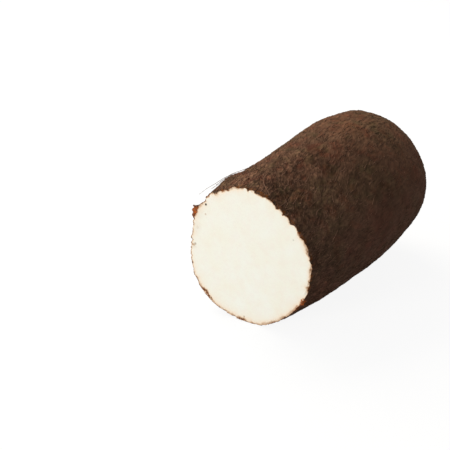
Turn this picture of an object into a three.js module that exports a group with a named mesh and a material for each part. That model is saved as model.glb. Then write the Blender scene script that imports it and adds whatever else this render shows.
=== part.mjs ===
// A length of yam tuber, cut square across at one end and rounded off at the other.
// It is one solid, as it grew. It lies on its side with +Z up: the cut face looks along -X,
// the long way is X, and the origin is the middle of the underside. Sizes are in millimetres.

import * as THREE from 'three';
import { mergeVertices } from 'three/addons/utils/BufferGeometryUtils.js';

// Driving dimensions
const LENGTH = 219.5;         // cut face to rounded tip
const CUT_RADIUS = 57;        // mean radius of the cut face
const BELLY_SWELL = 0.156;    // how much thicker the belly is than the cut, as a share of the cut radius
const BELLY_PLACE = 109;      // from the cut to the thickest section, where the rounding off starts
const TIP_FULLNESS = 2.6;     // exponent of the tip's rounding: 2 is an ellipse, more is blunter
const SIDE_BOW = 14.7;        // how far the middle of the tuber bows sideways, towards -Y
const REST_FLAT = 1;          // depth of the flat that the tuber's own weight rests on

// The section is a circle with a few broad lobes. Each lobe is a wave round the section: how many
// times it repeats, its depth as a share of the radius, and the angle of its first crest from +Y.
const CUT_LOBES = [
  { waves: 2, depth: 0.026, crest: -65 },
  { waves: 3, depth: 0.019, crest: -55 },
  { waves: 4, depth: 0.005, crest: -17 },
  { waves: 5, depth: 0.010, crest: 30 },
  { waves: 6, depth: 0.011, crest: 30 },
];
const BELLY_LOBES = [
  { waves: 2, depth: 0.047, crest: -57 },
  { waves: 3, depth: 0.022, crest: 46 },
  { waves: 4, depth: 0.025, crest: -4 },
];

// Knolls and, with a negative height, hollows in the skin: how far from the cut, at which angle round
// the section from +Y, how far they reach and how high they stand.
const KNOLLS = [
  { along: 3, around: 53, reach: 9, height: 2.8 },
  { along: 4, around: 250, reach: 12, height: 0.7 },
  { along: 21, around: 54, reach: 12, height: 3.8 },
  { along: 72, around: 55, reach: 16, height: -1.1 },
  { along: 100, around: 222, reach: 15, height: 0.4 },
  { along: 130, around: 66, reach: 14, height: 1.5 },
  { along: 135, around: 205, reach: 14, height: -0.6 },
  { along: 156, around: 180, reach: 14, height: 0.6 },
  { along: 180, around: 97, reach: 13, height: -0.9 },
  { along: 188, around: 128, reach: 12, height: 0.9 },
];
const KNOLL_RADIUS = 60;      // radius at which a knoll's spread round the section is measured

// Mesh density
const SEGMENTS = 84;          // round the section
const BODY_RINGS = 24;        // from the cut to the belly
const TIP_RINGS = 24;         // from the belly to the tip

const { clamp, degToRad, euclideanModulo, lerp, smoothstep } = THREE.MathUtils;

// Share of the radius that the lobes add at an angle round the section.
function lobed(lobes, angle) {
  return lobes.reduce(
    (sum, lobe) => sum + lobe.depth * Math.cos(lobe.waves * (angle - degToRad(lobe.crest))),
    0,
  );
}

// How far along the rounding off of the tip a station is, from 0 at the belly to 1 at the tip.
function tipShare(x) {
  return clamp((x - BELLY_PLACE) / (LENGTH - BELLY_PLACE), 0, 1);
}

// Mean radius before the tip rounds off: it swells from the cut to the belly and then holds.
function swollenRadius(x) {
  const share = clamp(x / BELLY_PLACE, 0, 1);
  return CUT_RADIUS * (1 + BELLY_SWELL * Math.sin((share * Math.PI) / 2));
}

// Share of the swollen radius that is left at a station on the rounded tip.
function tipTaper(x) {
  return Math.pow(1 - Math.pow(tipShare(x), TIP_FULLNESS), 1 / TIP_FULLNESS);
}

// Radius factor of the section's outline, which turns from the cut's lobes into the belly's.
function outline(x, angle) {
  const blend = smoothstep(x, 0, BELLY_PLACE);
  return 1 + lerp(lobed(CUT_LOBES, angle), lobed(BELLY_LOBES, angle), blend);
}

// Smallest turn from one angle to another, from -PI to PI.
function turnBetween(from, to) {
  return Math.PI - euclideanModulo(Math.PI - (to - from), 2 * Math.PI);
}

// Height that the knolls and hollows add at a station and angle.
function knolls(x, angle) {
  return KNOLLS.reduce((sum, knoll) => {
    const around = KNOLL_RADIUS * turnBetween(degToRad(knoll.around), angle);
    const distance = Math.hypot(x - knoll.along, around) / knoll.reach;
    return sum + knoll.height * Math.exp(-(distance ** 2));
  }, 0);
}

// Angles round the section, starting at +Y and turning towards +Z.
const ANGLES = Array.from({ length: SEGMENTS }, (_, i) => (i / SEGMENTS) * 2 * Math.PI);

// Height of the section's centre, so that the underside would touch the floor all along but for the
// flat, which sinks it by REST_FLAT.
function centreHeight(x) {
  const depths = ANGLES.map((angle) => -Math.sin(angle) * swollenRadius(x) * outline(x, angle));
  return Math.max(...depths) - REST_FLAT;
}

// Sideways place of the section's centre.
function centreSide(x) {
  return -SIDE_BOW * Math.sin((Math.PI * x) / LENGTH);
}

// One ring of points round the section at a station. Points below the floor are laid on it.
function ring(x) {
  const side = centreSide(x);
  const height = centreHeight(x);
  return ANGLES.map((angle) => {
    const reach = tipTaper(x) * (swollenRadius(x) * outline(x, angle) + knolls(x, angle));
    return new THREE.Vector3(
      x,
      side + reach * Math.cos(angle),
      Math.max(0, height + reach * Math.sin(angle)),
    );
  });
}

// Stations along the tuber: even from the cut to the belly, closing up towards the tip.
function stations() {
  const body = Array.from({ length: BODY_RINGS }, (_, i) => (BELLY_PLACE * i) / BODY_RINGS);
  const tip = Array.from({ length: TIP_RINGS }, (_, i) => {
    const share = Math.sin((i / TIP_RINGS) * (Math.PI / 2));
    return BELLY_PLACE + (LENGTH - BELLY_PLACE) * share;
  });
  return [...body, ...tip];
}

// The closed skin: a flat fan over the cut, quads between the rings, and a fan over the tip.
function tuberGeometry() {
  const rings = stations().map(ring);
  const cutCentre = new THREE.Vector3(0, centreSide(0), centreHeight(0));
  const tipPoint = new THREE.Vector3(LENGTH, centreSide(LENGTH), centreHeight(LENGTH));
  const corners = [];
  const triangle = (a, b, c) => corners.push(...a, ...b, ...c);

  const first = rings[0];
  const last = rings[rings.length - 1];
  for (let i = 0; i < SEGMENTS; i++) {
    const next = (i + 1) % SEGMENTS;
    triangle(cutCentre, first[next], first[i]);
    for (let k = 0; k + 1 < rings.length; k++) {
      const [near, far] = [rings[k], rings[k + 1]];
      triangle(near[i], near[next], far[next]);
      triangle(near[i], far[next], far[i]);
    }
    triangle(tipPoint, last[i], last[next]);
  }

  const geometry = new THREE.BufferGeometry();
  geometry.setAttribute('position', new THREE.Float32BufferAttribute(corners, 3));
  const merged = mergeVertices(geometry, 1e-3);
  merged.computeVertexNormals();
  merged.computeBoundingBox();
  return merged;
}

// Moves the geometry so that its box stands on the origin.
function standOnOrigin(geometry) {
  const { min, max } = geometry.boundingBox;
  geometry.translate(-(min.x + max.x) / 2, -(min.y + max.y) / 2, -min.z);
  return geometry;
}

const bark = new THREE.MeshStandardMaterial({
  name: 'bark',
  color: new THREE.Color(0x46322a),
  roughness: 0.9,
  metalness: 0,
});

const yam = new THREE.Mesh(standOnOrigin(tuberGeometry()), bark);
yam.name = 'yam';

const part = new THREE.Group();
part.add(yam);

export default part;
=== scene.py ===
"""A yam for the parts library: one length of tuber, cut square across at one end.

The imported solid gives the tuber's size and outline. This file builds what is seen of it: the tuber
with its bark and the flesh of the cut (yam_skin), the short hairs that lie on the bark (root_hairs)
and a few long loose ones beside the cut (stray_roots). It is laid out as an add-on and is run as a
script. Lengths are in metres.
"""

import math
from typing import NamedTuple

import bmesh
import bpy
import numpy as np
from bpy.props import FloatProperty, FloatVectorProperty, IntProperty, PointerProperty
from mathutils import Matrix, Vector


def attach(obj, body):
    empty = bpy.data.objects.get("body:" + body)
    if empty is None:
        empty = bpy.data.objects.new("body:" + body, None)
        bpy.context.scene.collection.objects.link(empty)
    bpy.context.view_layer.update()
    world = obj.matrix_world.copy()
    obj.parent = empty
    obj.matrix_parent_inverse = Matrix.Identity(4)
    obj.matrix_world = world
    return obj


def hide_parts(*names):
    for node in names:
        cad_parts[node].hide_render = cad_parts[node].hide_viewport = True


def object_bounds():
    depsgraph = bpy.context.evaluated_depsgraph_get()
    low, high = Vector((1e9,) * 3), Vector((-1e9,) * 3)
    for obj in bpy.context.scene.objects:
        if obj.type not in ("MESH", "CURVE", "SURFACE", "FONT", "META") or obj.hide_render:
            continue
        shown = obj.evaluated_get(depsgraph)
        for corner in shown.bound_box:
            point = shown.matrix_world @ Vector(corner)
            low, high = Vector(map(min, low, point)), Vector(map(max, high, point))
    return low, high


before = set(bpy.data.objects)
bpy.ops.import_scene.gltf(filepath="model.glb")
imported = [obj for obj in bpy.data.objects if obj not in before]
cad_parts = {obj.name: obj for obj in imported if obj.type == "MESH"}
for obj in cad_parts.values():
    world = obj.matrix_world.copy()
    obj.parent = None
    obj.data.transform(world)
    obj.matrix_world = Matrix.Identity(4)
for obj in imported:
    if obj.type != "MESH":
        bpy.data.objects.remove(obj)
cad_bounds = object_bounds()

bl_info = {
    "name": "Yam",
    "version": (1, 0, 0),
    "blender": (4, 5, 0),
    "location": "View3D > Sidebar > Yam",
    "description": "Builds a cut length of yam tuber round its packed solid",
    "category": "Add Mesh",
}

TUBER = "yam"               # the CAD node, hidden once the skin is built in its place
SKIN = "yam_skin"
ROOT_HAIRS = "root_hairs"
STRAY_ROOTS = "stray_roots"
BODY = "root"
MM = 0.001
TURN = 2 * math.pi
SENSOR_WIDTH = 36         # of the camera, in millimetres


# Node trees


class Wire:
    """An output socket of a tree. Arithmetic on it adds Math nodes."""

    def __init__(self, graph, socket):
        self.graph = graph
        self.socket = socket

    def __add__(self, other):
        return self.graph.math("ADD", self, other)

    __radd__ = __add__

    def __sub__(self, other):
        return self.graph.math("SUBTRACT", self, other)

    def __rsub__(self, other):
        return self.graph.math("SUBTRACT", other, self)

    def __mul__(self, other):
        return self.graph.math("MULTIPLY", self, other)

    __rmul__ = __mul__

    def __abs__(self):
        return self.graph.math("ABSOLUTE", self)


def opaque(colour):
    """A plain colour with its alpha. A wire brings its own."""
    return colour if isinstance(colour, Wire) else (*colour, 1.0)


class Graph:
    """A node tree under construction, for a material or for Geometry Nodes."""

    def __init__(self, tree):
        self.tree = tree
        tree.nodes.clear()

    def node(self, kind, settings=None, sockets=None):
        """Adds a node: its settings first, then a value or a link for each socket."""
        made = self.tree.nodes.new(kind)
        for name, value in (settings or {}).items():
            setattr(made, name, value)
        for key, value in (sockets or {}).items():
            if isinstance(value, Wire):
                self.tree.links.new(value.socket, made.inputs[key])
            else:
                made.inputs[key].default_value = value
        return made

    def wire(self, kind, settings=None, sockets=None, output=0):
        """Adds a node and gives one of its outputs."""
        return Wire(self, self.node(kind, settings, sockets).outputs[output])

    def math(self, operation, *operands):
        """A Math node on numbers and wires."""
        return self.wire("ShaderNodeMath", {"operation": operation}, dict(enumerate(operands)))

    def vector(self, operation, *operands):
        """A Vector Math node on vectors and wires. The last operand of SCALE is its factor."""
        keys = (0, "Scale") if operation == "SCALE" else range(len(operands))
        settings = {"operation": operation}
        return self.wire("ShaderNodeVectorMath", settings, dict(zip(keys, operands)))

    def part(self, vector, axis):
        """One of a vector's three numbers."""
        return self.wire("ShaderNodeSeparateXYZ", {}, {0: vector}, output=axis)

    def distance(self, place, point):
        """How far a place is from a fixed point."""
        settings = {"operation": "DISTANCE"}
        return self.wire("ShaderNodeVectorMath", settings, {0: place, 1: tuple(point)}, output="Value")

    def step(self, value, start, end):
        """0 where value is at start, 1 where it is at end, smooth between them and level beyond."""
        settings = {"interpolation_type": "SMOOTHSTEP", "clamp": True}
        return self.wire("ShaderNodeMapRange", settings, {0: value, 1: start, 2: end})

    def mix(self, share, first, second, blend="MIX"):
        """One colour turned into another by a share from 0 to 1."""
        settings = {"data_type": "RGBA", "blend_type": blend, "clamp_factor": True}
        sockets = {0: share, 6: opaque(first), 7: opaque(second)}
        return self.wire("ShaderNodeMix", settings, sockets, output=2)

    def noise(self, place, size, seed, detail=1, roughness=0.5, output="Fac"):
        """Cloudy noise round 0, mostly from -0.5 to 0.5, in lumps of a size."""
        settings = {"noise_dimensions": "4D", "normalize": False}
        sockets = {
            "Vector": place, "W": seed, "Scale": 1 / size, "Detail": detail, "Roughness": roughness,
        }
        return self.wire("ShaderNodeTexNoise", settings, sockets, output)

    def dots(self, place, spacing):
        """Distance to the nearest of points strewn at about a spacing, as a share of it."""
        return self.wire("ShaderNodeTexVoronoi", {}, {"Vector": place, "Scale": 1 / spacing})


def geometry_graph(name, settings=None):
    """A Geometry Nodes tree that takes a geometry and a group's settings: its graph and input wires."""
    tree = bpy.data.node_groups.new(name, "GeometryNodeTree")
    graph = Graph(tree)
    for in_out in ("INPUT", "OUTPUT"):
        tree.interface.new_socket("Geometry", in_out=in_out, socket_type="NodeSocketGeometry")
    titles = [setting.title() for setting in settings.__annotations__] if settings else []
    for title in titles:
        tree.interface.new_socket(title, in_out="INPUT", socket_type="NodeSocketFloat")
    sockets = graph.node("NodeGroupInput").outputs
    return graph, {title: Wire(graph, sockets[title]) for title in ("Geometry", *titles)}


def named(graph, name, kind="FLOAT"):
    """A mesh's attribute, as a field of Geometry Nodes."""
    return graph.wire("GeometryNodeInputNamedAttribute", {"data_type": kind}, {"Name": name})


def put_above_floor(graph, geometry, place, clearance):
    """A geometry at a place, but nowhere lower than a clearance over the floor."""
    anywhere = -1.0       # less than any place on the tuber
    lowest = graph.wire("ShaderNodeCombineXYZ", {}, {"X": anywhere, "Y": anywhere, "Z": clearance})
    sockets = {"Geometry": geometry, "Position": graph.vector("MAXIMUM", place, lowest)}
    return graph.wire("GeometryNodeSetPosition", {}, sockets)


def stored(graph, geometry, name, value):
    """A geometry with a number stored at each of its points."""
    settings = {"data_type": "FLOAT", "domain": "POINT"}
    sockets = {"Geometry": geometry, "Name": name, "Value": value}
    return graph.wire("GeometryNodeStoreNamedAttribute", settings, sockets)


def end_tree(graph, geometry, finishes):
    """Ends a tree in real geometry with finishes, each on the faces that its field selects."""
    ended = graph.wire("GeometryNodeRealizeInstances", {}, {"Geometry": geometry})
    for finish, selected in finishes:
        sockets = {"Geometry": ended, "Selection": selected, "Material": finish}
        ended = graph.wire("GeometryNodeSetMaterial", {}, sockets)
    graph.node("NodeGroupOutput", {}, {0: ended})


def grown(graph, carrier, settings):
    """The plain mesh that a tree makes on a carrier object, with its inputs set from the settings."""
    modifier = carrier.modifiers.new(graph.tree.name, "NODES")
    modifier.node_group = graph.tree
    for item in graph.tree.interface.items_tree:
        if item.socket_type == "NodeSocketFloat":
            modifier[item.identifier] = float(getattr(settings, item.name.lower()))
    depsgraph = bpy.context.evaluated_depsgraph_get()
    mesh = bpy.data.meshes.new_from_object(
        carrier.evaluated_get(depsgraph), preserve_all_data_layers=True, depsgraph=depsgraph
    )
    carrier.modifiers.remove(modifier)
    return mesh


def put_in_scene(name, data):
    """A new object at the origin for a mesh, a light or a camera."""
    made = bpy.data.objects.new(name, data)
    bpy.context.scene.collection.objects.link(made)
    return made


# The tuber's skin, point by point

SEGMENTS = 512            # points round a full ring, which halves again and again where rings close up
CROWDED = 0.60 * MM       # a ring halves where its points would be closer than this
RING_GAP = 0.02 * MM      # points of the solid closer than this are one, or on one ring by their x
RIM_STEP = 0.45 * MM      # from the rim of the cut to the next ring, along the bark or over the cut
BARK_STEP = 1.5 * MM      # from ring to ring along the bark
CUT_STEP = 2.6 * MM       # from ring to ring in the middle of the cut
STEP_GROWTH = 16 * MM     # how far from the rim the steps reach those two
SQUARE_REACH = 6 * MM     # nearer the cut than this, the relief turns to rise along the cut's plane


def smooth_between(knots, values, places):
    """Values at places along the knots, on a curve that runs smoothly through every knot."""
    slopes = np.gradient(values, knots, axis=0)
    left = np.clip(np.searchsorted(knots, places, side="right") - 1, 0, len(knots) - 2)
    shape = (-1,) + (1,) * (values.ndim - 1)
    gap = (knots[left + 1] - knots[left]).reshape(shape)
    share = (places - knots[left]).reshape(shape) / gap
    ease = share * share * (3 - 2 * share)
    bend = gap * share * (1 - share) * (slopes[left] * (1 - share) - slopes[left + 1] * share)
    return values[left] * (1 - ease) + values[left + 1] * ease + bend


def stepped(length, last_step):
    """Places from 0 to a length, the first RIM_STEP apart and the later ones last_step."""
    places = [0.0]
    while places[-1] < length - last_step / 2:
        share = min(1.0, places[-1] / STEP_GROWTH)
        places.append(places[-1] + RIM_STEP + (last_step - RIM_STEP) * share)
    return np.array(places) * length / places[-1]


def solid_rings():
    """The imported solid's rings from the cut to the tip: their x, their centres and their radii."""
    solid = bmesh.new()
    solid.from_mesh(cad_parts[TUBER].data)
    bmesh.ops.remove_doubles(solid, verts=solid.verts, dist=RING_GAP)
    points = np.array([vertex.co for vertex in solid.verts])
    solid.free()
    points = points[np.argsort(points[:, 0])]
    stations, centres, radii = [], [], []
    for ring in np.split(points, np.flatnonzero(np.diff(points[:, 0]) > RING_GAP) + 1):
        centre = ring.mean(axis=0)
        arms = ring - centre
        reach = np.hypot(arms[:, 1], arms[:, 2])
        on_rim = reach > reach.mean() / 2    # neither the middle of the cut nor the tip is
        turn = np.arctan2(arms[:, 2], arms[:, 1]) % TURN
        order = [i for i in np.argsort(turn) if on_rim[i]]
        stations.append(centre[0])
        centres.append(centre[1:])
        if order:
            knots = np.concatenate([turn[order] + lap for lap in (-TURN, 0, TURN)])
            radii.append(smooth_between(knots, np.tile(reach[order], 3), ring_angles()))
        else:
            radii.append(np.zeros(SEGMENTS))
    return np.array(stations), np.array(centres), np.array(radii)


def ring_angles():
    """The even angles of a full ring's points, from +Y towards +Z."""
    return np.arange(SEGMENTS) * TURN / SEGMENTS


def bark_rings():
    """The bark's full rings from the rim to the tip, the way outward at each point, and their places."""
    stations, centres, radii = solid_rings()
    steps = np.hypot(np.diff(stations), np.diff(radii.mean(axis=1)))
    profile = np.concatenate([[0.0], np.cumsum(steps)])
    places = stepped(profile[-1], BARK_STEP)
    x = smooth_between(profile, stations, places)
    centre = smooth_between(profile, centres, places)
    radius = np.maximum(smooth_between(profile, radii, places), 0)
    sides = centre[:, :1] + radius * np.cos(ring_angles())
    heights = np.maximum(centre[:, 1:] + radius * np.sin(ring_angles()), 0)
    points = np.stack([np.broadcast_to(x[:, None], sides.shape), sides, heights], axis=-1)
    along = np.gradient(points, places, axis=0)
    around = np.roll(points, -1, axis=1) - np.roll(points, 1, axis=1)
    outward = np.cross(around, along)
    outward[-1] = (1, 0, 0)    # at the tip, where the ring is a single point
    outward[..., 0] *= np.minimum(1, places / SQUARE_REACH)[:, None]
    outward /= np.linalg.norm(outward, axis=-1, keepdims=True)
    return points, outward, places


def skin_rings():
    """Every ring of the skin from the middle of the cut to the tip, as columns of numbers per point.

    The columns are the place, the way outward, where the relief is read and the distance in from the
    rim, which is negative on the bark.
    """
    points, outward, places = bark_rings()
    rim, rim_outward = points[0], outward[0]
    middle = rim.mean(axis=0)
    radius = np.linalg.norm(rim - middle, axis=1).mean()
    rings = []
    for depth in stepped(radius, CUT_STEP)[:0:-1]:    # from the middle out
        share = 1 - depth / radius
        inner = middle + (rim - middle) * share
        rings.append(np.column_stack([inner, rim_outward * share, rim, np.full(SEGMENTS, depth)]))
    for ring, way, place in zip(points, outward, places):
        rings.append(np.column_stack([ring, way, ring, np.full(SEGMENTS, -place)]))
    return rings


def thinned(rings):
    """The rings with only as many points as suit their girth, and a single one where they end."""
    girths = [np.linalg.norm(np.diff(ring[:, :3], axis=0), axis=1).sum() for ring in rings]
    half_way = len(rings) // 2
    skips = [1] * len(rings)
    for order in (range(half_way, len(rings)), range(half_way, -1, -1)):
        skip = 1
        for k in order:
            if girths[k] * skip / SEGMENTS < CROWDED:
                skip *= 2
            skips[k] = skip
    kept = [ring[::skip] for ring, skip in zip(rings, skips)]
    kept[0], kept[-1] = kept[0][:1], kept[-1][:1]
    return kept


def strip(start, near, far):
    """Faces between a ring of near points, numbered from start, and the next ring of far points."""
    def on_near(i):
        return start + i % near

    def on_far(i):
        return start + near + i % far

    if near == 1:
        return [(start, on_far(i + 1), on_far(i)) for i in range(far)]
    if far == 1:
        return [(on_near(i), on_near(i + 1), on_far(0)) for i in range(near)]
    if near == far:
        return [(on_near(i), on_near(i + 1), on_far(i + 1), on_far(i)) for i in range(near)]
    # One ring has twice the points of the other, so three triangles fill each gap of the sparser one.
    faces = []
    for i in range(min(near, far)):
        k = 2 * i + 1
        if near > far:
            faces.append((on_near(k - 1), on_near(k), on_far(i)))
            faces.append((on_near(k), on_far(i + 1), on_far(i)))
            faces.append((on_near(k), on_near(k + 1), on_far(i + 1)))
        else:
            faces.append((on_near(i), on_near(i + 1), on_far(k)))
            faces.append((on_near(i), on_far(k), on_far(k - 1)))
            faces.append((on_near(i + 1), on_far(k + 1), on_far(k)))
    return faces


def smooth_skin():
    """The tuber's closed skin without its relief, with the attributes that the relief reads."""
    rings = thinned(skin_rings())
    columns = np.concatenate(rings)
    faces, on_cut, start = [], [], 0
    for ring, following in zip(rings, rings[1:]):
        added = strip(start, len(ring), len(following))
        faces += added
        on_cut += [bool(ring[0, -1] > 0)] * len(added)
        start += len(ring)
    mesh = bpy.data.meshes.new(TUBER)
    mesh.from_pydata(columns[:, :3].tolist(), [], faces)
    mesh.polygons.foreach_set("use_smooth", [True] * len(faces))
    for name, kind, domain, key, values in (
        ("outward", "FLOAT_VECTOR", "POINT", "vector", columns[:, 3:6]),
        ("relief_at", "FLOAT_VECTOR", "POINT", "vector", columns[:, 6:9]),
        ("from_rim", "FLOAT", "POINT", "value", columns[:, 9]),
        ("on_cut", "BOOLEAN", "FACE", "value", np.array(on_cut)),
    ):
        mesh.attributes.new(name, kind, domain).data.foreach_set(key, values.ravel())
    shape = bmesh.new()
    shape.from_mesh(mesh)
    cut = shape.faces.layers.bool["on_cut"]
    for edge in shape.edges:
        edge.smooth = len({face[cut] for face in edge.link_faces}) == 1
    shape.to_mesh(mesh)
    shape.free()
    return mesh


# Marks on the rim, the cut and the bark

SPECK_CORE = 0.5          # share of a speck's radius within which it is whole
SPECK_EDGE = 1.3          # share of it at which the speck has faded out
SCAR_CORE = 0.3           # share of a scar's reach within which it is whole
SCAR_RAGGED = 2.0 * MM    # width of the band in which its edge strays
SCAR_SEED = 7.0           # which way the edges stray


class Scar(NamedTuple):
    """A place on the rim of the cut where the rind is torn or stained."""

    turn: float         # in degrees round the cut, from +Y towards +Z
    reach: float        # half its length round the rim
    inward: float       # how much further than elsewhere the rind's colour reaches over the flesh
    crumbs: float       # height of its crumbs on the bark
    orange: float       # share of bare rind in its colour


class Speck(NamedTuple):
    """A small mark on the flesh."""

    turn: float         # in degrees round the cut, from +Y towards +Z
    depth: float        # in from the rim
    radius: float
    darkness: float     # share of its own colour in its middle
    tan: float          # share of tan in its colour, and the rest is dark


SCARS = (
    Scar(29, 8.5 * MM, 0.0, 6.0 * MM, 1.0),
    Scar(49, 2.4 * MM, 1.0 * MM, 0.5 * MM, 0.3),
    Scar(145, 2.5 * MM, 0.3 * MM, 0.5 * MM, 0.5),
    Scar(206, 6.0 * MM, 1.5 * MM, 1.4 * MM, 0.9),
    Scar(215, 6.5 * MM, 0.0, 0.0, 0.4),
    Scar(244, 2.5 * MM, 0.8 * MM, 0.0, 0.1),
    Scar(274, 7.5 * MM, 1.6 * MM, 0.0, 0.1),
    Scar(313, 8.0 * MM, 3.8 * MM, 0.4 * MM, 0.15),
)
SPECKS = (
    Speck(16, 3.5 * MM, 5.5 * MM, 0.06, 1.0),
    Speck(17, 5.0 * MM, 1.3 * MM, 0.12, 0.6),
    Speck(30, 2.5 * MM, 5.0 * MM, 0.08, 1.0),
    Speck(35, 7.8 * MM, 1.0 * MM, 0.42, 0.9),
    Speck(43, 3.4 * MM, 1.1 * MM, 0.95, 0.0),
    Speck(57, 1.4 * MM, 0.8 * MM, 0.60, 0.0),
    Speck(147, 8.1 * MM, 0.8 * MM, 0.25, 0.0),
    Speck(273, 4.2 * MM, 0.8 * MM, 0.50, 0.3),
    Speck(357, 2.4 * MM, 2.8 * MM, 0.15, 1.0),
    Speck(358, 1.0 * MM, 1.2 * MM, 0.80, 1.0),
    Speck(358, 2.6 * MM, 1.1 * MM, 0.65, 1.0),
    Speck(359, 4.0 * MM, 1.1 * MM, 0.55, 0.5),
)


class Patch(NamedTuple):
    """A broad place on the bark that is darker or paler than the rest."""

    turn: float         # in degrees round the tuber, from +Y towards +Z
    behind: float       # from the cut back to its middle
    reach: float
    tone: float         # what it adds to the bark's tone, less than 0 where it is darker


PATCHES = (
    Patch(100, 10 * MM, 22 * MM, -0.25),
    Patch(118, 36 * MM, 26 * MM, 0.14),
    Patch(84, 136 * MM, 28 * MM, 0.14),
    Patch(152, 142 * MM, 36 * MM, 0.16),
)


def ring_point(ring, turn):
    """The point of a full ring nearest an angle round it, in degrees."""
    return ring[round(turn / 360 * SEGMENTS) % SEGMENTS]


def point_on_cut(rim, turn, depth=0.0):
    """The point of the cut at an angle round its rim, some way in from it."""
    on_rim = ring_point(rim, turn)
    arm = on_rim - rim.mean(axis=0)
    return on_rim - arm * depth / np.linalg.norm(arm)


def patch_tone(graph, place, points, places):
    """What the patches add to the bark's tone at a place."""
    total = 0.0
    for patch in PATCHES:
        middle = ring_point(points[np.searchsorted(places, patch.behind)], patch.turn)
        total = total + patch.tone * graph.step(graph.distance(place, middle), patch.reach, 0.0)
    return total


def scar_shares(graph, place, rim):
    """How far a place is within each scar: 1 in its middle, 0 outside it, with a ragged edge."""
    ragged = graph.noise(place, 2.6 * MM, SCAR_SEED) * SCAR_RAGGED
    shares = []
    for scar in SCARS:
        distance = graph.distance(place, point_on_cut(rim, scar.turn)) + ragged
        shares.append(graph.step(distance, scar.reach, scar.reach * SCAR_CORE))
    return shares


def weighted(shares, weights):
    """The sum of some shares, each with its weight."""
    total = 0.0
    for share, weight in zip(shares, weights):
        if weight:
            total = total + share * weight
    return total


# Bark relief

TEETH = 32                # scallops round the rim of the cut
QUIET = 0.55              # share of its liveliness that the bark keeps far from the cut or low down
MEAN_SINE = 0.64          # mean of a sine's absolute value, so that scallops leave the rim's mean place
AXIS_HEIGHT = (cad_bounds[0][2] + cad_bounds[1][2]) / 2    # of the tuber's middle line
FIBRE_LEAN = 5.6          # turn of the bark's fibres about it, in radians a metre, 35 mm behind the cut
LEAN_HALF_WAY = 0.7       # share of that turn which is left half-way along the tuber
LEAN_LOSS = 4.0           # share of it that a metre towards the tip takes away
FIBRE_STRETCH = 3.0       # how much longer than wide the bark's fibres are
FIBRE_WAVE = 22 * MM      # from one bend of a fibre to the next
FIBRE_WAVER = 4 * MM      # width of the band in which a fibre bends aside
FIBRE_SEED = 0.0          # which way the fibres bend


def along_fibres(graph, place):
    """A place in a pattern of wavering fibres, which lean like a screw's thread beside the cut."""
    along = graph.part(place, "X")
    aside = graph.noise(place, FIBRE_WAVE, FIBRE_SEED, output="Color")
    bent = graph.vector("ADD", place, graph.vector("SCALE", aside, FIBRE_WAVER))
    angle = along * (LEAN_HALF_WAY - LEAN_LOSS / 2 * along) * FIBRE_LEAN
    sockets = {"Vector": bent, "Center": (0, 0, AXIS_HEIGHT), "Angle": angle}
    turned = graph.wire("ShaderNodeVectorRotate", {"rotation_type": "X_AXIS"}, sockets)
    return graph.vector("MULTIPLY", turned, (1 / FIBRE_STRETCH, 1, 1))


def nearness(graph, from_rim):
    """0 far behind the cut and 1 beside it, where fibres give way to blotches and hairs tangle."""
    return graph.step(from_rim, -110 * MM, -30 * MM)


def liveliness(graph, place, from_rim):
    """How rough and mottled the bark is: about 1 high up beside the cut, less further back or down."""
    height = graph.part(place, "Z")
    near = graph.step(from_rim, -130 * MM, -10 * MM)
    high = graph.step(height, 82 * MM, 122 * MM)
    crown = graph.step(height, 120 * MM, 134 * MM)
    return (QUIET + (1 - QUIET) * near) * (QUIET + (1 - QUIET) * high) + 0.15 * crown


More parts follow.
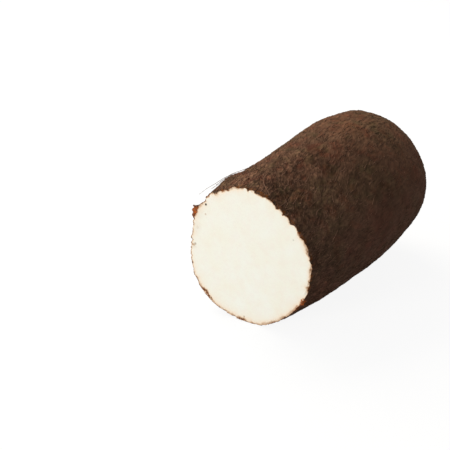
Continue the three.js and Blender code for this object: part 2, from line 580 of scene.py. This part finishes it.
def relief_graph(bark, flesh, rim):
    """The tree that raises the bark's relief on a smooth skin and gives bark and flesh their finish."""
    graph, given = geometry_graph("Bark relief", YamReliefSettings)
    at = named(graph, "relief_at", "FLOAT_VECTOR")
    from_rim = named(graph, "from_rim")
    seed = given["Seed"]

    fibre = along_fibres(graph, at)
    lumps = graph.noise(at, 12 * MM, seed + 1) * given["Lumps"]
    creases = abs(graph.noise(fibre, 4.2 * MM, seed + 2, detail=2))
    wrinkles = (0.12 - creases) * given["Wrinkles"]
    grain = graph.noise(at, 2.8 * MM, seed + 3) * given["Grain"]
    warts = graph.step(graph.dots(at, 17 * MM), 0.13, 0.03) * given["Warts"]
    crumbs = 0.75 + 0.7 * graph.noise(at, 2.2 * MM, seed + 6)
    behind = graph.step(from_rim, -0.2 * MM, -1.6 * MM)
    torn = weighted(scar_shares(graph, at, rim), [scar.crumbs for scar in SCARS]) * crumbs * behind
    lively = liveliness(graph, at, from_rim)
    fine = lumps * (0.25 + 0.75 * lively) + (wrinkles + grain + warts) * lively + torn
    swell = graph.noise(at, 40 * MM, seed) * given["Swell"]

    near_rim = graph.step(from_rim, -2.5 * MM, -0.2 * MM)
    off_floor = graph.step(graph.part(at, "Z"), 0.0, 85 * MM)
    middle = rim.mean(axis=0)
    sideways = graph.part(at, "Y") - float(middle[1])
    turn = graph.math("ARCTAN2", graph.part(at, "Z") - float(middle[2]), sideways)
    phase = turn * (TEETH / 2) + 3.5 * graph.noise(at, 14 * MM, seed + 4)
    uneven = 0.85 + 1.4 * graph.noise(at, 9 * MM, seed + 7)
    scallops = (abs(graph.math("SINE", phase)) - MEAN_SINE) * uneven
    height = swell + fine + scallops * near_rim * off_floor * given["Teeth"]
    offset = graph.vector("SCALE", named(graph, "outward", "FLOAT_VECTOR"), height)

    chipped = graph.step(graph.noise(at, 6 * MM, seed + 5, detail=2), 0.0, 0.35)
    edge = graph.step(from_rim, 1.8 * MM, 0.3 * MM) * graph.step(from_rim, -2.0 * MM, 0.0)
    chip = graph.wire("ShaderNodeCombineXYZ", {}, {"X": chipped * edge * given["Chips"]})
    offset = graph.vector("ADD", offset, chip)

    raised = graph.wire("GeometryNodeSetPosition", {}, {"Geometry": given["Geometry"], "Offset": offset})
    raised = put_above_floor(graph, raised, graph.wire("GeometryNodeInputPosition"), 0.0)
    # The bark's finish reads this height to paint shade into the creases.
    raised = stored(graph, raised, "relief", fine * (1 / MM))
    end_tree(graph, raised, ((bark, True), (flesh, named(graph, "on_cut", "BOOLEAN"))))
    return graph


# Root hairs

HAIR_POINTS = 5           # points along a short root hair
HAIR_SIDES = 3            # sides of a root hair's section
HAIR_WAVE = 14 * MM       # from one bend of a short root hair to the next
HAIR_TAPER = 0.3          # what a root hair's radius loses towards its tip, as a share of its thickness
HAIR_NOISES = 50.0        # how far apart in the noise the hairs' own bends are taken, at most
STRAND_POINTS = 24        # points along a long one
STRAND_CLEAR = 0.9 * MM   # how far a long one lies above the smooth bark
STRAND_SWAY = 0.9         # how far it wavers to either side, in degrees round the tuber


class Strand(NamedTuple):
    """A long loose root hair that lies along the bark beside the cut."""

    turn: float         # of its root, in degrees round the tuber, from +Y towards +Z
    behind: float       # from the cut back to its root
    end_turn: float
    end_behind: float
    bow: float          # how far its middle stands aside, in degrees round the tuber
    lift: float         # how much further off the bark its free end stands
    thickness: float
    shade: float        # 1 is as pale as root hairs get


STRANDS = (
    Strand(52, 33 * MM, 45, 0.5 * MM, 0, 5.4 * MM, 0.60 * MM, 0.8),
    Strand(50, 30 * MM, 46, 12 * MM, 1, 1.5 * MM, 0.50 * MM, 0.8),
    Strand(60, 40 * MM, 54, 9 * MM, -1, 1.0 * MM, 0.60 * MM, 1.0),
    Strand(57, 28 * MM, 53, 4 * MM, 1, 0.6 * MM, 0.55 * MM, 0.9),
    Strand(90, 24 * MM, 106, 3 * MM, -5, 0.5 * MM, 0.70 * MM, 1.0),
    Strand(86, 22 * MM, 92, 15 * MM, 0, 0.3 * MM, 0.60 * MM, 1.0),
    Strand(104, 26 * MM, 109, 12 * MM, 2, 0.4 * MM, 0.50 * MM, 0.7),
    Strand(12, 30 * MM, 4, 8 * MM, 3, 2.0 * MM, 0.55 * MM, 0.8),
    Strand(330, 24 * MM, 338, 5 * MM, -3, 1.0 * MM, 0.50 * MM, 0.9),
)


def random_number(graph, low, high, seed, identity=None):
    """A random number between two for each point, or for each identity."""
    sockets = {2: low, 3: high, "Seed": seed}
    if identity is not None:
        sockets["ID"] = identity
    return graph.wire("FunctionNodeRandomValue", {"data_type": "FLOAT"}, sockets, output=1)


def tapered(along):
    """A root hair's radius some way along it, as a share of its thickness at the root."""
    return 0.5 - HAIR_TAPER * along


def end_in_tubes(graph, curves, radius, finish):
    """Ends a tree in closed tubes along curves."""
    sockets = {"Resolution": HAIR_SIDES, "Radius": 1.0}
    section = graph.wire("GeometryNodeCurvePrimitiveCircle", {"mode": "RADIUS"}, sockets)
    sockets = {"Curve": curves, "Profile Curve": section, "Scale": radius, "Fill Caps": True}
    tubes = graph.wire("GeometryNodeCurveToMesh", {}, sockets)
    end_tree(graph, tubes, ((finish, True),))


def root_hair_graph(finish):
    """The tree that strews short root hairs over the bark and lays each one along it."""
    graph, given = geometry_graph("Root hairs", YamHairSettings)
    seed = given["Seed"]
    on_cut = named(graph, "on_cut", "BOOLEAN")
    bark = graph.wire(
        "GeometryNodeSeparateGeometry", {"domain": "FACE"}, {0: given["Geometry"], 1: on_cut}, output=1
    )
    from_rim = named(graph, "from_rim")
    near_cut = graph.step(from_rim, -70 * MM, 0.0)
    density = given["Density"] + given["Extra"] * near_cut
    strewn = graph.node(
        "GeometryNodeDistributePointsOnFaces", {"distribute_method": "RANDOM"},
        {"Mesh": bark, "Density": density, "Seed": seed},
    )

    lying = graph.wire(
        "FunctionNodeAxesToRotation", {"primary_axis": "Z", "secondary_axis": "X"},
        {0: Wire(graph, strewn.outputs["Normal"]), 1: (1, 0, 0)},
    )
    tangled = 0.4 + 0.6 * nearness(graph, from_rim)
    heading = (random_number(graph, -1.0, 1.0, seed + 1) * given["Spread"] + given["Heading"]) * tangled
    spin = graph.wire("FunctionNodeAxisAngleToRotation", {}, {0: (0, 0, 1), 1: heading})
    lying = graph.wire("FunctionNodeRotateRotation", {"rotation_space": "LOCAL"}, {0: lying, 1: spin})
    # Most hairs are short and a few are long.
    chance = random_number(graph, 0.0, 1.0, seed + 2)
    length = given["Length"] * (0.45 + 1.1 * chance * chance * chance)

    line = graph.wire("GeometryNodeCurvePrimitiveLine", {}, {"Start": (-0.5, 0, 0), "End": (0.5, 0, 0)})
    line = graph.wire("GeometryNodeResampleCurve", {}, {"Curve": line, "Count": HAIR_POINTS})
    sockets = {"Instance": line, "Rotation": lying, "Scale": length}
    sockets["Points"] = Wire(graph, strewn.outputs["Points"])
    hairs = graph.wire("GeometryNodeInstanceOnPoints", {}, sockets)
    hairs = graph.wire("GeometryNodeRealizeInstances", {}, {"Geometry": hairs})

    hair = graph.wire("GeometryNodeCurveOfPoint")
    along = graph.wire("GeometryNodeSplineParameter")
    place = graph.wire("GeometryNodeInputPosition")
    own_noise = random_number(graph, 0.0, HAIR_NOISES, seed + 3, hair)
    wander = graph.noise(place, HAIR_WAVE, own_noise, output="Color")
    offset = graph.vector("SCALE", wander, given["Wander"] * tangled)
    hairs = graph.wire("GeometryNodeSetPosition", {}, {"Geometry": hairs, "Offset": offset})

    nearest = graph.wire(
        "GeometryNodeProximity", {"target_element": "FACES"}, {"Geometry": bark, "Sample Position": place}
    )
    upright = graph.wire(
        "GeometryNodeSampleNearestSurface", {"data_type": "FLOAT_VECTOR"},
        {"Mesh": bark, "Value": graph.wire("GeometryNodeInputNormal"), "Sample Position": place},
    )
    loose = random_number(graph, 0.0, 1.0, seed + 4, hair)
    radius = given["Thickness"] * tapered(along) * (0.6 + 0.8 * loose)
    height = radius * 0.7 + given["Lift"] * along * along * loose * tangled
    lifted = graph.vector("ADD", nearest, graph.vector("SCALE", upright, height))
    hairs = put_above_floor(graph, hairs, lifted, radius)
    hairs = stored(graph, hairs, "shade", random_number(graph, 0.0, 1.0, seed + 5, hair))
    end_in_tubes(graph, hairs, radius, finish)
    return graph


def strand_lines(seed):
    """The long root hairs as bare lines, with what the tree and the finish read at each point."""
    points, outward, places = bark_rings()
    share = np.linspace(0, 1, STRAND_POINTS)
    chance = np.random.default_rng(seed)
    lines, links, girths, shades, depths = [], [], [], [], []

    def at_turn(ring, turn):
        """A value of a full ring at any angle."""
        return np.array([np.interp(turn, ring_angles(), column, period=TURN) for column in ring.T])

    # Each one sways once or twice, leaves the bark near its root and rises at its free end.
    for k, strand in enumerate(STRANDS):
        behind = strand.behind + (strand.end_behind - strand.behind) * share
        sway = STRAND_SWAY * share * np.sin(TURN * (chance.uniform(1.2, 2.2) * share + chance.random()))
        turn = strand.turn + (strand.end_turn - strand.turn) * share
        turn = np.radians(turn + strand.bow * 4 * share * (1 - share) + sway)
        clear = STRAND_CLEAR * np.minimum(1, 6 * share) + strand.lift * share ** 1.3
        on_bark, way = smooth_between(places, points, behind), smooth_between(places, outward, behind)
        for i in range(STRAND_POINTS):
            lines.append(at_turn(on_bark[i], turn[i]) + at_turn(way[i], turn[i]) * clear[i])
        start = k * STRAND_POINTS
        links += [(i, i + 1) for i in range(start, start + STRAND_POINTS - 1)]
        girths.append(strand.thickness * tapered(share))
        shades.append(np.full(STRAND_POINTS, strand.shade))
        depths.append(-behind)
    mesh = bpy.data.meshes.new("strand_lines")
    mesh.from_pydata(np.array(lines).tolist(), links, [])
    for name, values in (("girth", girths), ("shade", shades), ("from_rim", depths)):
        mesh.attributes.new(name, "FLOAT", "POINT").data.foreach_set("value", np.concatenate(values))
    return mesh


def strand_graph(finish):
    """The tree that gives the long root hairs their thickness."""
    graph, given = geometry_graph("Stray roots")
    curves = graph.wire("GeometryNodeMeshToCurve", {}, {0: given["Geometry"]})
    end_in_tubes(graph, curves, named(graph, "girth"), finish)
    return graph


# Finishes

CLOUD_SEED = 916          # which broad pale and dark clouds the bark has
ZONE_SEED = 223           # which broad red and olive zones it has


def shader_graph(name):
    """A new material, and the graph of its tree."""
    material = bpy.data.materials.new(name)
    material.use_nodes = True
    return material, Graph(material.node_tree)


def surface_value(graph, name):
    """A number that the mesh carries at each point."""
    return graph.wire("ShaderNodeAttribute", {"attribute_name": name}, output="Fac")


def finish_with(graph, sockets):
    """Ends a material's tree in a Principled shader with these sockets set."""
    shader = graph.wire("ShaderNodeBsdfPrincipled", {}, sockets)
    graph.node("ShaderNodeOutputMaterial", {}, {"Surface": shader})


def layered(graph, colour, layers, blend="MIX"):
    """A colour with others laid over it in turn, each by its share."""
    for share, layer in layers:
        colour = graph.mix(share, colour, layer, blend)
    return colour


def bark_material(colours, seed, points, places):
    """Dry, dark brown bark: fibrous, mottled red and olive, liveliest beside the cut, with painted shade
    in its creases, painted warm light on top and painted cool shade low down.
    """
    material, graph = shader_graph("bark")
    place = graph.wire("ShaderNodeTexCoord", output="Object")
    height = graph.part(place, "Z")
    fibre = along_fibres(graph, place)
    relief = surface_value(graph, "relief")
    from_rim = surface_value(graph, "from_rim")
    lively = liveliness(graph, place, from_rim)

    ridges = 0.2 - abs(graph.noise(fibre, 1.9 * MM, seed + 11))
    strokes = graph.noise(fibre, 1.4 * MM, seed + 18)
    near = nearness(graph, from_rim)
    flecks = graph.noise(place, 3.0 * MM, seed + 12) * near
    flecks = flecks + graph.noise(fibre, 2.2 * MM, seed + 12) * (1 - near)
    patches = graph.noise(place, 10 * MM, CLOUD_SEED)
    clouds = graph.noise(place, 45 * MM, CLOUD_SEED + 1)
    # The relief term makes the colour darker where the bark lies low and paler where it is raised:
    # painted shade in the creases.
    spots = 0.45 * ridges + 0.1 * strokes + 0.5 * flecks + 0.3 * patches + 0.25 * relief
    spots = spots * lively * (1.0 + 0.3 * graph.step(from_rim, -50 * MM, -10 * MM))
    # crown marks the bark high on top, back from the cut. Its term in the tone is painted light that
    # makes the top paler, and it also takes an olive tint.
    crown = graph.step(height, 112 * MM, 136 * MM) * graph.step(from_rim, -70 * MM, -125 * MM)
    foot = graph.step(height, 80 * MM, 35 * MM) * (graph.step(from_rim, -55 * MM, -15 * MM) - 0.5)
    beside = graph.step(from_rim, -9 * MM, -2 * MM)
    shades = spots + 0.7 * spots * spots + 0.15 * clouds
    tone = 0.37 + shades + 0.18 * crown + 0.12 * foot - 0.06 * beside
    tone = tone + patch_tone(graph, place, points, places)
    colour = graph.mix(tone, colours.bark_dark, colours.bark_pale)

    red = graph.step(graph.noise(place, 9 * MM, seed + 15), -0.1, 0.5) * lively
    olive = graph.step(graph.noise(place, 11 * MM, seed + 16), -0.1, 0.5) * lively
    zones = graph.noise(place, 38 * MM, ZONE_SEED)
    # Painted light: the bark on top is tinted warm, as the key light would make it, and the bark low down
    # cool, as in shade.
    high = graph.step(height, 60 * MM, 130 * MM)
    tints = (
        (red, colours.red_tint),
        (olive, colours.olive_tint),
        (graph.step(zones, 0.0, 0.45) * 0.5, colours.red_tint),
        (graph.step(zones, 0.0, -0.45) * 0.6, colours.olive_tint),
        (high, colours.painted_top_light_tint),
        (1 - high, colours.painted_flank_shade_tint),
        (crown * 0.35, colours.olive_tint),
    )
    colour = layered(graph, colour, tints, "MULTIPLY")

    edge = from_rim + (2.2 * MM) * graph.noise(place, 5 * MM, seed + 19)
    knife_edge = graph.step(edge, -3.6 * MM, -1.2 * MM)
    rust = graph.step(graph.noise(place, 4 * MM, seed + 28), -0.35, 0.25)
    rim_colour = graph.mix(rust, colours.rim_dark, colours.rim_brown)
    colour = graph.mix(knife_edge * 0.85, colour, rim_colour)
    torn = weighted(scar_shares(graph, place, points[0]), [scar.orange for scar in SCARS])
    colour = graph.mix(torn * (0.9 + ridges), colour, colours.orange)

    finest = graph.noise(fibre, 0.7 * MM, seed + 17)
    bump_height = ridges * 0.35 + strokes * 0.15 + finest * 0.1
    bump = graph.wire("ShaderNodeBump", {}, {"Height": bump_height, "Distance": MM})
    finish_with(graph, {
        "Base Color": colour, "Roughness": 0.86 + 0.1 * flecks, "Normal": bump,
        "Specular IOR Level": 0.05, "Sheen Weight": 0.03, "Sheen Roughness": 0.5,
        "Sheen Tint": opaque(colours.sheen),
    })
    return material


def flesh_material(colours, seed, rim):
    """Moist off-white flesh, which turns peach, tan and brown towards a ragged line of bark."""
    material, graph = shader_graph("flesh")
    place = graph.wire("ShaderNodeTexCoord", output="Object")
    scars = scar_shares(graph, place, rim)

    ragged = graph.noise(place, 6 * MM, seed + 21, detail=2, roughness=0.6)
    frayed = graph.noise(place, 1.8 * MM, seed + 22)
    torn_in = weighted(scars, [scar.inward for scar in SCARS])
    depth = surface_value(graph, "from_rim") - (0.7 * MM) * frayed - (0.9 * MM) * ragged - torn_in
    low = graph.step(graph.part(place, "Z"), 45 * MM, 10 * MM)
    width = 0.6 + 1.5 * abs(graph.noise(place, 15 * MM, seed + 26)) + 0.9 * low
    clouds = graph.noise(place, 30 * MM, seed + 23)
    clouds += graph.noise(place, 11 * MM, seed + 27)
    colour = graph.mix(0.5 + 0.6 * clouds, colours.flesh, colours.flesh_warm)
    rosy = graph.step(graph.noise(place, 4.5 * MM, seed + 29, detail=2), -0.2, 0.4)
    colour = graph.mix(rosy, colour, colours.rosy_tint, "MULTIPLY")

    skin = graph.step(depth, 0.5 * MM, -0.2 * MM)
    bare = weighted(scars, [scar.orange for scar in SCARS]) * graph.step(depth, 1.0 * MM, -0.5 * MM)
    crumbs = graph.noise(place, 1.8 * MM, seed + 30)
    colour = layered(graph, colour, (
        (graph.step(depth, width * (7 * MM), 1 * MM) * 0.25, colours.peach),
        (graph.step(depth, width * (3.0 * MM), 0.5 * MM) * 0.7, colours.peach),
        (graph.step(depth, width * (1.4 * MM), 0.2 * MM) * 0.9, colours.tan),
        (skin, colours.rim_brown),
        (bare, colours.orange),
        (skin * graph.step(crumbs, 0.0, 0.3) * 0.6, colours.peach),
        (skin * graph.step(crumbs, 0.0, -0.3) * 0.8, colours.rim_dark),
    ))
    for speck in SPECKS:
        distance = graph.distance(place, point_on_cut(rim, speck.turn, speck.depth))
        mark = graph.step(distance, speck.radius * SPECK_EDGE, speck.radius * SPECK_CORE)
        stain = Vector(colours.rim_dark).lerp(Vector(colours.tan), speck.tan)
        colour = graph.mix(mark * speck.darkness, colour, stain)

    height = 0.05 * graph.noise(place, 2.5 * MM, seed + 24, detail=2)
    height += 0.02 * graph.noise(place, 0.6 * MM, seed + 25, detail=2)
    bump = graph.wire("ShaderNodeBump", {}, {"Height": height, "Distance": MM})
    finish_with(graph, {
        "Base Color": colour, "Roughness": 0.5 + 0.4 * skin, "Normal": bump,
        "Specular IOR Level": 0.3,
    })
    return material


def rootlet_material(colours):
    """Thin dry rootlets, each of its own shade."""
    material, graph = shader_graph("rootlets")
    place = graph.wire("ShaderNodeTexCoord", output="Object")
    lively = liveliness(graph, place, surface_value(graph, "from_rim"))
    shade = surface_value(graph, "shade")
    tone = 0.45 + (shade * shade - 0.35) * lively
    colour = graph.mix(tone, colours.rootlet_dark, colours.rootlet_pale)
    finish_with(graph, {"Base Color": colour, "Roughness": 0.85, "Specular IOR Level": 0.05})
    return material


# Settings


def number_setting(name, default, description, **more):
    """A number, with what else its property takes, such as a unit."""
    return FloatProperty(name=name, description=description, default=default, **more)


def length_setting(name, default, description):
    """A length in metres."""
    return number_setting(name, default, description, min=0.0, precision=5, unit="LENGTH")


def angle_setting(name, default, description, **more):
    """An angle in radians."""
    return number_setting(name, default, description, subtype="ANGLE", unit="ROTATION", **more)


def colour_setting(name, default, description):
    """A linear colour."""
    return FloatVectorProperty(
        name=name, description=description, default=default, min=0.0, max=1.0, size=3, subtype="COLOR"
    )


class YamReliefSettings(bpy.types.PropertyGroup):
    """How far the bark's relief stands out."""

    swell: length_setting("Swell", 0.8 * MM, "Height of the broad swellings of the tuber")
    lumps: length_setting("Lumps", 0.9 * MM, "Height of the lumps about a centimetre across")
    wrinkles: length_setting("Wrinkles", 0.9 * MM, "Depth of the wrinkles that run along the bark")
    grain: length_setting("Grain", 0.5 * MM, "Height of the bark's fine grain")
    warts: length_setting("Warts", 0.5 * MM, "Height of the scars where rootlets grew")
    teeth: length_setting("Teeth", 1.9 * MM, "Depth of the scallops in the rim of the cut")
    chips: length_setting("Chips", 0.8 * MM, "How far the broken bark stands back from the cut")
    seed: IntProperty(name="Seed", description="Which tuber of this kind is made", default=3, min=0)


class YamColourSettings(bpy.types.PropertyGroup):
    """The colours of bark, flesh and rootlets."""

    # The tone between these two also carries painted shade in the bark's creases, through the relief.
    bark_pale: colour_setting("Bark, pale", (0.272, 0.145, 0.090), "Bark on its ridges")
    bark_dark: colour_setting("Bark, dark", (0.067, 0.0345, 0.0222), "Bark in its creases")
    red_tint: colour_setting("Red tint", (1.0, 0.76, 0.74), "Multiplied into the bark's red patches")
    olive_tint: colour_setting("Olive tint", (0.82, 0.96, 0.86), "Multiplied into its olive patches")
    # These two tints are painted light: warm light on the bark on top and cool shade on the bark low
    # down.
    painted_top_light_tint: colour_setting("Painted top light tint", (1.0, 0.965, 0.92), "Multiplied into the bark on top")
    painted_flank_shade_tint: colour_setting("Painted flank shade tint", (0.98, 0.935, 0.99), "Multiplied into the bark low down")
    sheen: colour_setting("Sheen", (0.90, 0.52, 0.30), "Fuzz of the bark, seen along the surface")
    rim_brown: colour_setting("Rim brown", (0.195, 0.062, 0.013), "Bark where the knife went through")
    rim_dark: colour_setting("Rim dark", (0.078, 0.048, 0.030), "The darker stretches of it")
    orange: colour_setting("Rind orange", (0.44, 0.105, 0.022), "Bare rind in the scars of the rim")
    tan: colour_setting("Rind tan", (0.50, 0.29, 0.155), "Rind between bark and flesh")
    peach: colour_setting("Rind peach", (0.92, 0.71, 0.50), "Flesh next to the rind")
    flesh: colour_setting("Flesh", (0.905, 0.898, 0.795), "Flesh of the cut")
    flesh_warm: colour_setting("Flesh, warm", (0.900, 0.868, 0.735), "Flesh in its warmer patches")
    rosy_tint: colour_setting("Rosy tint", (1.0, 0.978, 0.985), "Multiplied into the flesh's rosy flecks")
    rootlet_pale: colour_setting("Rootlet, pale", (0.32, 0.175, 0.114), "The palest rootlets")
    rootlet_dark: colour_setting("Rootlet, dark", (0.060, 0.0315, 0.0205), "The darkest rootlets")


class YamHairSettings(bpy.types.PropertyGroup):
    """The root hairs on the bark."""

    density: number_setting("Density", 65000, "Short hairs a square metre", min=0)
    extra: number_setting("Extra", 75000, "Further short hairs a square metre beside the cut", min=0)
    length: length_setting("Length", 7 * MM, "Length that a fifth of the short hairs exceed")
    thickness: length_setting("Thickness", 0.42 * MM, "Thickness of an ordinary short hair at its root")
    lift: length_setting("Lift", 0.4 * MM, "How far a loose short hair's end stands off the bark")
    wander: length_setting("Wander", 4 * MM, "Width of the band in which a short hair bends")
    heading: angle_setting(
        "Heading", math.radians(20), "Turn of the hairs from the tuber's length, towards +Y on top"
    )
    spread: angle_setting(
        "Spread", 0.6, "How far hairs turn from their heading, to either side", min=0.0
    )
    seed: IntProperty(name="Seed", description="Which root hairs are made", default=5, min=0)


class YamStageSettings(bpy.types.PropertyGroup):
    """Camera, lights and floor."""

    azimuth: angle_setting(
        "Azimuth", math.radians(-56), "Camera's turn about the tuber, from looking along +Y"
    )
    elevation: angle_setting("Elevation", math.radians(25), "Camera's height above level")
    distance: length_setting("Distance", 1.013, "From the camera to the point that it looks at")
    aim: FloatVectorProperty(
        name="Aim", description="The point that the camera looks at, from the tuber's middle",
        default=(-0.0574, 0.0706, -0.0172), size=3, subtype="TRANSLATION", unit="LENGTH",
    )
    lens: number_setting("Lens", 96, f"Focal length on a {SENSOR_WIDTH} mm wide sensor", unit="CAMERA")
    floor_size: length_setting("Floor size", 12.0, "Width of the floor")
    key_power: number_setting("Key light", 9.6, "Power of the key light", unit="POWER")
    front_power: number_setting("Front light", 13.5, "Power of the light on the cut", unit="POWER")
    sky: number_setting("Sky", 0.30, "Strength of the even light all round", min=0.0)


# Stage


class Lamp(NamedTuple):
    """A square soft light that shines on the tuber's middle."""

    way: tuple          # from the tuber's middle towards it
    distance: float
    size: float
    colour: tuple


KEY_LIGHT = Lamp((0.30, 0.66, 0.70), 1.1, 0.7, (1.0, 0.93, 0.80))
FRONT_LIGHT = Lamp((-0.95, 0.26, 0.10), 1.45, 0.4, (1.0, 1.0, 1.0))


def hang_lamp(name, lamp, power, target):
    """Adds a lamp that shines on a target."""
    data = bpy.data.lights.new(name, "AREA")
    data.energy = power
    data.size = lamp.size
    data.color = lamp.colour
    light = put_in_scene(name, data)
    way = Vector(lamp.way).normalized()
    light.location = target + way * lamp.distance
    light.rotation_euler = way.to_track_quat("Z", "Y").to_euler()
    light.visible_camera = False


def floor_material():
    """A plain pale floor that mostly glows by itself, so that the shadows on it stay faint."""
    material, graph = shader_graph("pale_floor")
    finish_with(graph, {
        "Base Color": (0.15, 0.15, 0.15, 1.0), "Roughness": 0.9, "Specular IOR Level": 0.0,
        "Emission Color": (1.0, 1.0, 1.0, 1.0), "Emission Strength": 0.90,
    })
    return material


def pale_world(sky):
    """A world that lights evenly and looks white behind the floor."""
    world = bpy.data.worlds.new("pale_world")
    world.use_nodes = True
    graph = Graph(world.node_tree)
    seen = graph.wire("ShaderNodeLightPath", output="Is Camera Ray")
    strength = sky + (1 - sky) * seen
    shader = graph.wire("ShaderNodeBackground", {}, {"Color": (1.0, 1.0, 1.0, 1.0), "Strength": strength})
    graph.node("ShaderNodeOutputWorld", {}, {"Surface": shader})
    return world


# Operators


class YAM_OT_build_tuber(bpy.types.Operator):
    """Build the tuber, bark and cut flesh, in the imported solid's place"""

    bl_idname = "yam.build_tuber"
    bl_label = "Build Tuber"

    def execute(self, context):
        settings = context.scene.yam_relief
        colours = context.scene.yam_colours
        points, _, places = bark_rings()
        rim = points[0]
        bark = bark_material(colours, settings.seed, points, places)
        flesh = flesh_material(colours, settings.seed, rim)
        piece = put_in_scene(SKIN, smooth_skin())
        piece.data = grown(relief_graph(bark, flesh, rim), piece, settings)
        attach(piece, BODY)
        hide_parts(TUBER)
        return {"FINISHED"}


class YAM_OT_build_root_hairs(bpy.types.Operator):
    """Strew short root hairs over the tuber's bark and lay long ones beside the cut"""

    bl_idname = "yam.build_root_hairs"
    bl_label = "Build Root Hairs"

    def execute(self, context):
        settings = context.scene.yam_hairs
        finish = rootlet_material(context.scene.yam_colours)
        for name, carrier, graph in (
            (ROOT_HAIRS, bpy.data.objects[SKIN].data.copy(), root_hair_graph(finish)),
            (STRAY_ROOTS, strand_lines(settings.seed), strand_graph(finish)),
        ):
            piece = put_in_scene(name, carrier)
            piece.data = grown(graph, piece, settings)
            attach(piece, BODY)
        return {"FINISHED"}


class YAM_OT_build_stage(bpy.types.Operator):
    """Set up the floor, the lights, the world and the camera"""

    bl_idname = "yam.build_stage"
    bl_label = "Build Stage"

    def execute(self, context):
        settings = context.scene.yam_stage
        low, high = (Vector(corner) for corner in cad_bounds)
        middle = (low + high) / 2

        half = settings.floor_size / 2
        mesh = bpy.data.meshes.new("floor")
        corners = [(-half, -half, 0), (half, -half, 0), (half, half, 0), (-half, half, 0)]
        mesh.from_pydata(corners, [], [(0, 1, 2, 3)])
        mesh.materials.append(floor_material())
        floor = put_in_scene("floor", mesh)
        # It sends no light up onto the tuber.
        floor.visible_diffuse = False
        floor.visible_glossy = False

        hang_lamp("key_light", KEY_LIGHT, settings.key_power, middle)
        hang_lamp("front_light", FRONT_LIGHT, settings.front_power, middle)
        context.scene.world = pale_world(settings.sky)
        context.scene.view_settings.view_transform = "Standard"

        level = Vector((-math.sin(settings.azimuth), math.cos(settings.azimuth), 0))
        ahead = level * math.cos(settings.elevation) - Vector((0, 0, math.sin(settings.elevation)))
        data = bpy.data.cameras.new("camera")
        data.lens = settings.lens
        data.sensor_width = SENSOR_WIDTH
        camera = put_in_scene("camera", data)
        camera.location = middle + Vector(settings.aim) - ahead * settings.distance
        camera.rotation_euler = ahead.to_track_quat("-Z", "Y").to_euler()
        context.scene.camera = camera
        return {"FINISHED"}


class YAM_PT_panel(bpy.types.Panel):
    """The yam's settings and its build steps"""

    bl_idname = "YAM_PT_panel"
    bl_label = "Yam"
    bl_space_type = "VIEW_3D"
    bl_region_type = "UI"
    bl_category = "Yam"

    def draw(self, context):
        for name, group in GROUPS.items():
            box = self.layout.box()
            settings = getattr(context.scene, name)
            for setting in group.__annotations__:
                box.prop(settings, setting)
        for step in STEPS:
            self.layout.operator(step.bl_idname)


GROUPS = {
    "yam_relief": YamReliefSettings,
    "yam_colours": YamColourSettings,
    "yam_hairs": YamHairSettings,
    "yam_stage": YamStageSettings,
}
STEPS = (YAM_OT_build_tuber, YAM_OT_build_root_hairs, YAM_OT_build_stage)
CLASSES = (*GROUPS.values(), *STEPS, YAM_PT_panel)


def register():
    """Registers the classes and hangs the settings on the scene."""
    for cls in CLASSES:
        bpy.utils.register_class(cls)
    for name, group in GROUPS.items():
        setattr(bpy.types.Scene, name, PointerProperty(type=group))


def unregister():
    """Takes the settings and the classes away again."""
    for name in GROUPS:
        delattr(bpy.types.Scene, name)
    for cls in reversed(CLASSES):
        bpy.utils.unregister_class(cls)


def main():
    """Builds the tuber, its root hairs and the stage."""
    register()
    bpy.ops.yam.build_tuber()
    bpy.ops.yam.build_root_hairs()
    bpy.ops.yam.build_stage()


if __name__ == "__main__":
    main()
